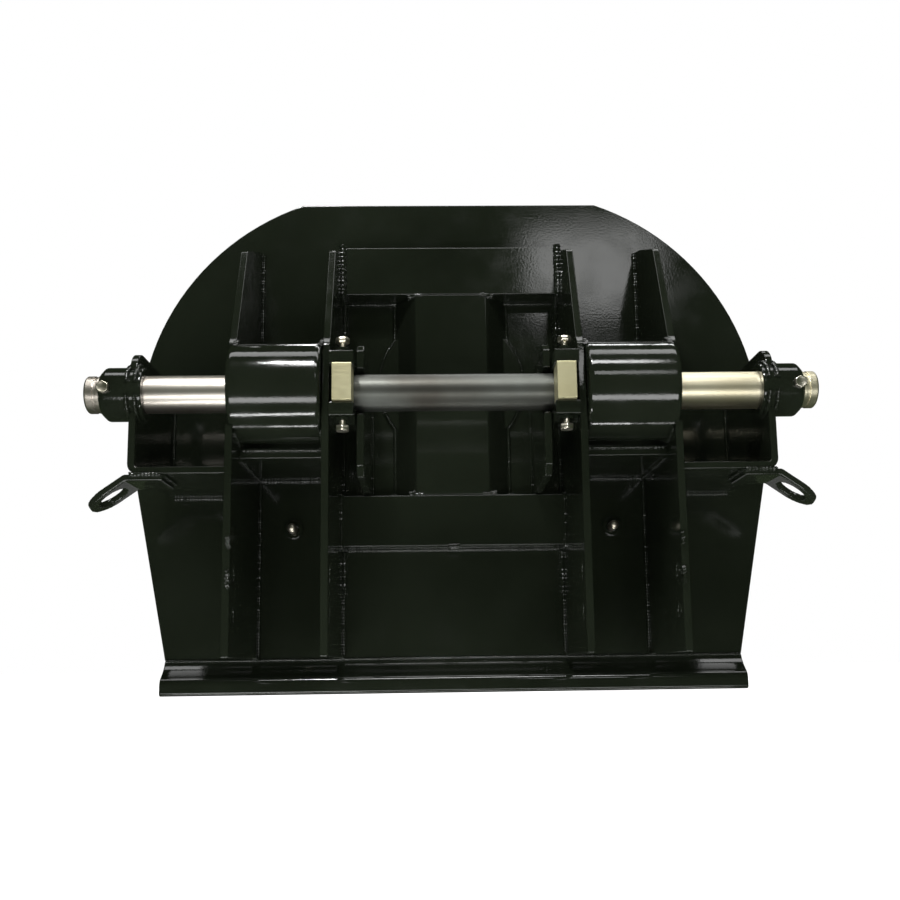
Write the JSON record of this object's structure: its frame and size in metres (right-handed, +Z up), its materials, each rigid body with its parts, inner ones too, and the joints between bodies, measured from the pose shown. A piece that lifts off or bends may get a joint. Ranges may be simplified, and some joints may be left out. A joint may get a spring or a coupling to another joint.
{
  "type": "quick coupler",
  "caption": "Half-moon carrier plate with welded ribs, draw-out side pins, a turning cross shaft in keeper saddles, tie-down eyes and a formed lower lip.",
  "frame": {"origin": "on the rear face of the carrier plate, at mid width, level with the shaft axis", "axes": "+X to the object's right as seen from the front, +Y out of the rear face, +Z up; the pins and ribs are on the -Y side"},
  "size_m": [0.99, 0.257, 0.763],
  "materials": {
    "black_paint": "gloss",
    "bright_zinc": "satin",
    "yellow_zinc": "satin",
    "dark_steel": "satin",
    "bronze": "satin",
    "seal_rubber": "matte"
  },
  "bodies": {
    "frame": {"bottom_lip": "black_paint", "carrier_plate": "black_paint", "centre_disc": "black_paint", "left_bolt_washer": "black_paint", "left_housing_shelf": "black_paint", "left_inner_bushing": "bronze", "left_inner_gusset": "black_paint", "left_inner_rib": "black_paint", "left_keeper_saddle": "black_paint", "left_lower_jack_bolt": "bright_zinc", "left_lower_jam_nut": "black_paint", "left_outer_bushing": "bronze", "left_outer_rib": "black_paint", "left_pin_boss": "black_paint", "left_pin_housing": "black_paint", "left_pin_seal": "seal_rubber", "left_plate_bolt": "bright_zinc", "left_set_bolt": "yellow_zinc", "left_side_bracket": "black_paint", "left_tie_eye": "black_paint", "left_upper_jack_bolt": "bright_zinc", "left_upper_jam_nut": "black_paint", "lower_crossbar": "black_paint", "right_bolt_washer": "black_paint", "right_housing_shelf": "black_paint", "right_inner_bushing": "bronze", "right_inner_gusset": "black_paint", "right_inner_rib": "black_paint", "right_keeper_saddle": "black_paint", "right_lower_jack_bolt": "bright_zinc", "right_lower_jam_nut": "black_paint", "right_outer_bushing": "bronze", "right_outer_rib": "black_paint", "right_pin_boss": "black_paint", "right_pin_housing": "black_paint", "right_pin_seal": "seal_rubber", "right_plate_bolt": "bright_zinc", "right_set_bolt": "yellow_zinc", "right_side_bracket": "black_paint", "right_tie_eye": "black_paint", "right_upper_jack_bolt": "bright_zinc", "right_upper_jam_nut": "black_paint", "stem": "black_paint", "upper_crossbar": "black_paint"},
    "left_pin": {"left_side_pin": "bright_zinc"},
    "right_pin": {"right_side_pin": "yellow_zinc"},
    "shaft": {"cross_shaft": "dark_steel"},
    "left_block": {"left_keeper_block": "yellow_zinc"},
    "right_block": {"right_keeper_block": "yellow_zinc"}
  },
  "joints": [
    {"name": "left_pin_slide", "type": "slide", "parent": "frame", "child": "left_pin", "axis": [-1, 0, 0], "range_m": [0, 0.24]},
    {"name": "right_pin_slide", "type": "slide", "parent": "frame", "child": "right_pin", "axis": [1, 0, 0], "range_m": [0, 0.24]},
    {"name": "cross_shaft_spin", "type": "hinge", "parent": "frame", "child": "shaft", "pos_m": [0, -0.189, 0], "axis": [1, 0, 0], "continuous": true},
    {"name": "left_block_slide", "type": "slide", "parent": "frame", "child": "left_block", "axis": [0, -1, 0], "range_m": [0, 0.05]},
    {"name": "right_block_slide", "type": "slide", "parent": "frame", "child": "right_block", "axis": [0, -1, 0], "range_m": [0, 0.05]}
  ]
}
